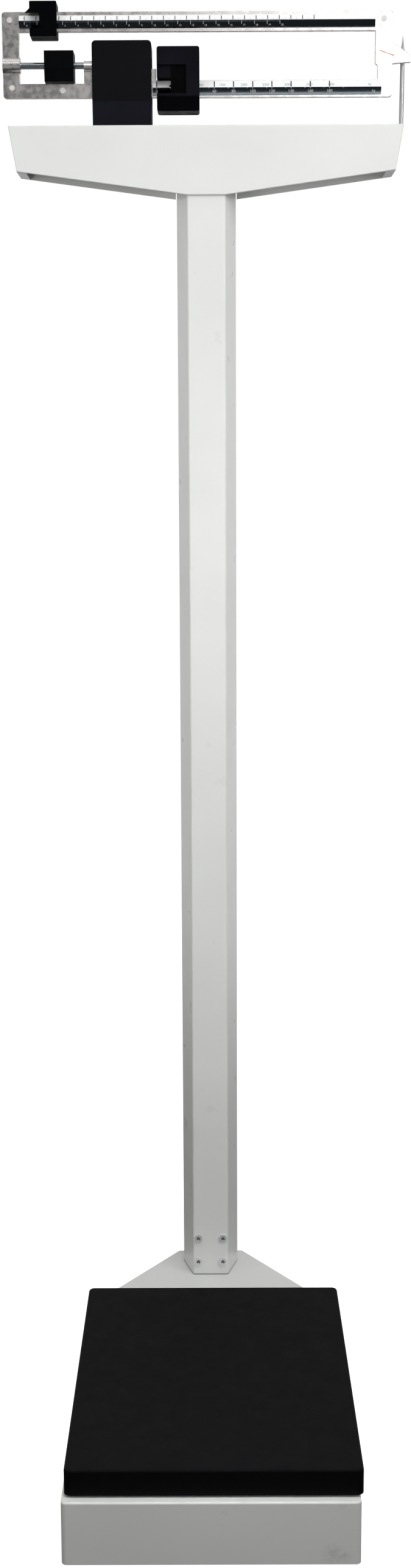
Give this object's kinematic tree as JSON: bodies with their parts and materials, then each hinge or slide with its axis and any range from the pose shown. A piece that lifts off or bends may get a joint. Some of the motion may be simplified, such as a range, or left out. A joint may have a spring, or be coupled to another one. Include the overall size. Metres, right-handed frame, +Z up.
{
  "type": "physician beam scale",
  "caption": "Column-mounted mechanical weighing scale: a low platform on hidden levers, a tall column and a balance beam with sliding poises.",
  "frame": {"origin": "on the floor, below the middle of the scale's bounding box", "axes": "+Z up along the column, +X along the beam to the user's right, the platform reaches towards -Y"},
  "size_m": [0.4273, 0.54, 1.466],
  "materials": {
    "white_enamel": "satin",
    "black_rubber": "matte",
    "foot_rubber": "matte",
    "black_enamel": "satin",
    "black_cover": "satin",
    "cast_aluminium": "cast",
    "polished_chrome": "polished",
    "zinc_fastener": "plated",
    "lever_steel": "plain",
    "hard_steel": "ground",
    "plain_steel": "plain"
  },
  "bodies": {
    "stand": {"base_pan": "white_enamel", "base_corner_plates": "plain_steel", "base_rails": "plain_steel", "levelling_feet": "foot_rubber", "foot_studs": "zinc_fastener", "front_lever_stands": "lever_steel", "rear_lever_stands": "lever_steel", "column_socket": "plain_steel", "column_socket_bolts": "zinc_fastener", "column_profile": "white_enamel", "column_back_cover": "white_enamel", "column_braces": "plain_steel", "column_foot_screws": "zinc_fastener", "column_back_screws": "zinc_fastener", "head_bracket": "plain_steel", "head_shell": "white_enamel", "head_back_plate": "white_enamel", "head_standoffs": "lever_steel", "head_back_screws": "zinc_fastener", "beam_stand": "lever_steel", "beam_stand_bolts": "zinc_fastener", "fulcrum_bearings": "hard_steel", "beam_stop_screws": "zinc_fastener", "pivot_cover": "black_cover", "pivot_cover_clips": "zinc_fastener", "transfer_stand": "lever_steel", "transfer_bearings": "hard_steel", "balance_post": "polished_chrome"},
    "main_lever": {"main_lever_left_arm": "lever_steel", "main_lever_right_arm": "lever_steel", "main_lever_cross_bar": "lever_steel", "main_lever_tie": "lever_steel", "main_lever_nose": "lever_steel", "main_lever_knives": "hard_steel"},
    "short_lever": {"short_lever_frame": "lever_steel", "short_lever_knives": "hard_steel"},
    "draft_rod": {"draft_rod": "zinc_fastener", "rod_lower_stirrup": "lever_steel", "rod_upper_clevis": "lever_steel", "rod_lock_nuts": "zinc_fastener"},
    "transfer_lever": {"transfer_lever": "lever_steel", "transfer_knives": "hard_steel"},
    "beam_link": {"beam_link": "lever_steel"},
    "platform": {"platform_tray": "plain_steel", "platform_legs": "plain_steel", "platform_bearings": "hard_steel", "platform_cover": "black_rubber"},
    "beam": {"beam_frame": "cast_aluminium", "fine_scale_bar": "polished_chrome", "main_scale_bar": "polished_chrome", "beam_rivets": "zinc_fastener", "beam_knives": "hard_steel"},
    "adjusting_screw": {"adjusting_screw": "polished_chrome"},
    "counterweight": {"counterweight": "black_enamel", "counterweight_lock_screw": "zinc_fastener"},
    "fine_poise": {"fine_poise": "black_enamel", "fine_poise_pointer": "black_enamel"},
    "main_poise": {"main_poise": "black_enamel", "main_poise_index": "black_enamel"}
  },
  "joints": [
    {"name": "beam_tilt", "type": "hinge", "parent": "stand", "child": "beam", "pos_m": [-0.0875, 0.23, 1.41], "axis": [0, 1, 0], "range_deg": [-2, 2]},
    {"name": "fine_poise_slide", "type": "slide", "parent": "beam", "child": "fine_poise", "axis": [1, 0, 0], "range_m": [0, 0.33]},
    {"name": "main_poise_slide", "type": "slide", "parent": "beam", "child": "main_poise", "axis": [1, 0, 0], "range_m": [0, 0.181]},
    {"name": "adjusting_screw_turn", "type": "hinge", "parent": "beam", "child": "adjusting_screw", "pos_m": [-0.16, 0.23, 1.4046], "axis": [1, 0, 0], "range_deg": [-6000.5, 2160.5]},
    {"name": "counterweight_slide", "type": "slide", "parent": "beam", "child": "counterweight", "axis": [1, 0, 0], "range_m": [-0.025, 0.009]},
    {"name": "beam_link_lift", "type": "slide", "parent": "stand", "child": "beam_link", "axis": [0, 0, 1], "range_m": [-0.00078, 0.00078]},
    {"name": "transfer_lever_rock", "type": "hinge", "parent": "stand", "child": "transfer_lever", "pos_m": [0.0275, 0.23, 1.318], "axis": [0, 1, 0], "range_deg": [-0.32759, 0.32759]},
    {"name": "draft_rod_lift", "type": "slide", "parent": "stand", "child": "draft_rod", "axis": [0, 0, 1], "range_m": [-0.00015723, 0.00015723]},
    {"name": "main_lever_rock", "type": "hinge", "parent": "stand", "child": "main_lever", "pos_m": [0, -0.215, 0.035], "axis": [1, 0, 0], "range_deg": [-0.020244, 0.020244]},
    {"name": "short_lever_rock", "type": "hinge", "parent": "stand", "child": "short_lever", "pos_m": [0, 0.08, 0.035], "axis": [1, 0, 0], "range_deg": [-0.020244, 0.020244]},
    {"name": "platform_lift", "type": "slide", "parent": "stand", "child": "platform", "axis": [0, 0, 1], "range_m": [-0.000014133, 0.000014133]}
  ],
  "couplings": [
    {"joint": "beam_link_lift", "follows": "beam_tilt", "m_per_rad": 0.022},
    {"joint": "transfer_lever_rock", "follows": "beam_tilt", "ratio": 0.16058},
    {"joint": "draft_rod_lift", "follows": "beam_tilt", "m_per_rad": 0.0044161},
    {"joint": "main_lever_rock", "follows": "beam_tilt", "ratio": 0.0099237},
    {"joint": "short_lever_rock", "follows": "beam_tilt", "ratio": -0.0099237},
    {"joint": "platform_lift", "follows": "beam_tilt", "m_per_rad": 0.00039695},
    {"joint": "adjusting_screw_turn", "follows": "counterweight_slide", "rad_per_m": 4188.8}
  ]
}
